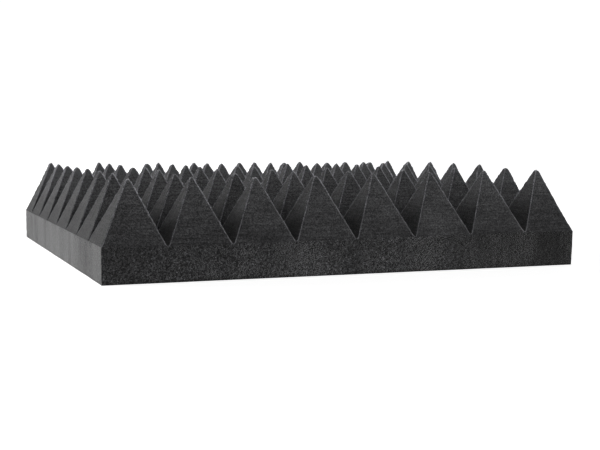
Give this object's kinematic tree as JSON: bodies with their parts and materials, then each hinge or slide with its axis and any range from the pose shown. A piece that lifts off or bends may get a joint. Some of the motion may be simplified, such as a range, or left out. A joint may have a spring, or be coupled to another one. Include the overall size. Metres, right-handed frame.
{
  "type": "acoustic foam panel",
  "caption": "Square charcoal foam panel with a flat back and square sides, whose face is a field of blunt pyramids that absorb sound.",
  "frame": {"origin": "middle of the flat back face, on which the panel lies", "axes": "+Z out of the back face towards the tips of the pyramids, +X to the right along the front edge, +Y from the front edge to the back edge"},
  "size_m": [0.5, 0.5, 0.0975],
  "materials": {
    "foam": "open-cell polyurethane foam, charcoal grey, dull and finely pitted"
  },
  "bodies": {
    "root": {"base_slab": "foam", "pyramid_row_1": "foam", "pyramid_row_2": "foam", "pyramid_row_3": "foam", "pyramid_row_4": "foam", "pyramid_row_5": "foam", "pyramid_row_6": "foam", "pyramid_row_7": "foam", "pyramid_row_8": "foam"}
  },
  "joints": []
}
